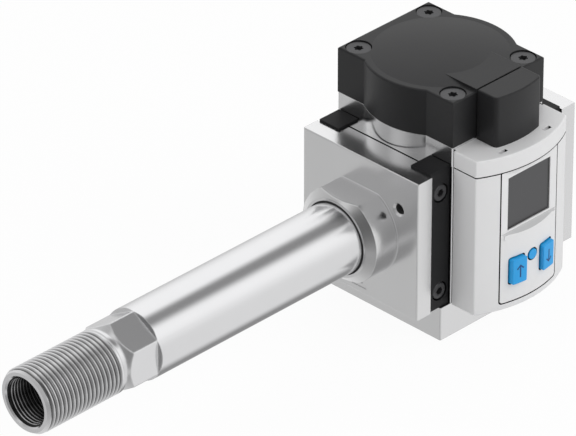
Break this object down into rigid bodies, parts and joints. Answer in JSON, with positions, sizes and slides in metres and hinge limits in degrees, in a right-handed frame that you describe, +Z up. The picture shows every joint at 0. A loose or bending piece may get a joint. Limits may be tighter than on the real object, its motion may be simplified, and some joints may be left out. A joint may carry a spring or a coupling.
{
  "type": "flow sensor",
  "caption": "Modular inline flow sensor: square block with end plates, long threaded inlet tube, black cover, and a front display with push buttons.",
  "frame": {"origin": "middle of the underside of the block's foot", "axes": "+X along the flow from inlet to outlet, -Y the way the display faces, +Z up"},
  "size_m": [0.268, 0.0955, 0.1075],
  "materials": {
    "block_aluminium": "fine-blasted",
    "tube_aluminium": "turned",
    "clamp_black": "satin",
    "screw_black": "blackened",
    "cover_black": "fine-grained",
    "housing_grey": "satin",
    "button_blue": "satin",
    "tinted_lens": "satin",
    "seal_rubber": "matte",
    "board_green": "satin",
    "switch_dark": "matte",
    "lcd_glass": "gloss",
    "light_guide": "milky",
    "holder_plastic": "matte",
    "element_ceramic": "ceramic",
    "spring_steel": "bright",
    "zinc_steel": "zinc-plated",
    "ribbon_grey": "satin",
    "plated_brass": "nickel-plated",
    "contact_gold": "gold-plated",
    "insert_black": "matte"
  },
  "bodies": {
    "housing": {"main_body": "block_aluminium", "inlet_plate": "block_aluminium", "outlet_plate": "block_aluminium", "inlet_joint_seal": "seal_rubber", "outlet_joint_seal": "seal_rubber", "inlet_tube": "tube_aluminium", "tube_seal_ring": "seal_rubber", "flow_straightener": "light_guide", "flow_screens": "spring_steel", "retaining_clip": "spring_steel", "inlet_front_clamp": "clamp_black", "inlet_rear_clamp": "clamp_black", "outlet_front_clamp": "clamp_black", "outlet_rear_clamp": "clamp_black", "clamp_screws": "screw_black", "sensor_holder": "holder_plastic", "sensor_element": "element_ceramic", "sensor_leads": "contact_gold", "holder_seal": "seal_rubber", "holder_screws": "zinc_steel", "board_standoffs": "plated_brass", "main_board": "board_green", "board_screws": "zinc_steel", "cover_seal": "seal_rubber", "top_cover": "cover_black", "cover_screws": "screw_black", "cable_bridge": "cover_black", "display_housing": "housing_grey", "housing_cap": "housing_grey", "front_panel": "housing_grey", "display_window": "tinted_lens", "lcd_module": "lcd_glass", "backlight_block": "light_guide", "display_board": "board_green", "display_board_screws": "zinc_steel", "housing_screws": "zinc_steel", "tact_switches": "switch_dark", "ribbon_cable": "ribbon_grey", "connector_shell": "plated_brass", "connector_insert": "insert_black", "connector_pins": "contact_gold", "connector_seal": "seal_rubber"},
    "up_button": {"up_button": "button_blue"},
    "down_button": {"down_button": "button_blue"},
    "edit_button": {"edit_button": "button_blue"}
  },
  "joints": [
    {"name": "up_button_press", "type": "slide", "parent": "housing", "child": "up_button", "axis": [0, 1, 0], "range_m": [0, 0.0006], "stiffness_N_per_m": 2500},
    {"name": "down_button_press", "type": "slide", "parent": "housing", "child": "down_button", "axis": [0, 1, 0], "range_m": [0, 0.0006], "stiffness_N_per_m": 2500},
    {"name": "edit_button_press", "type": "slide", "parent": "housing", "child": "edit_button", "axis": [0, 1, 0], "range_m": [0, 0.0006], "stiffness_N_per_m": 2500}
  ]
}
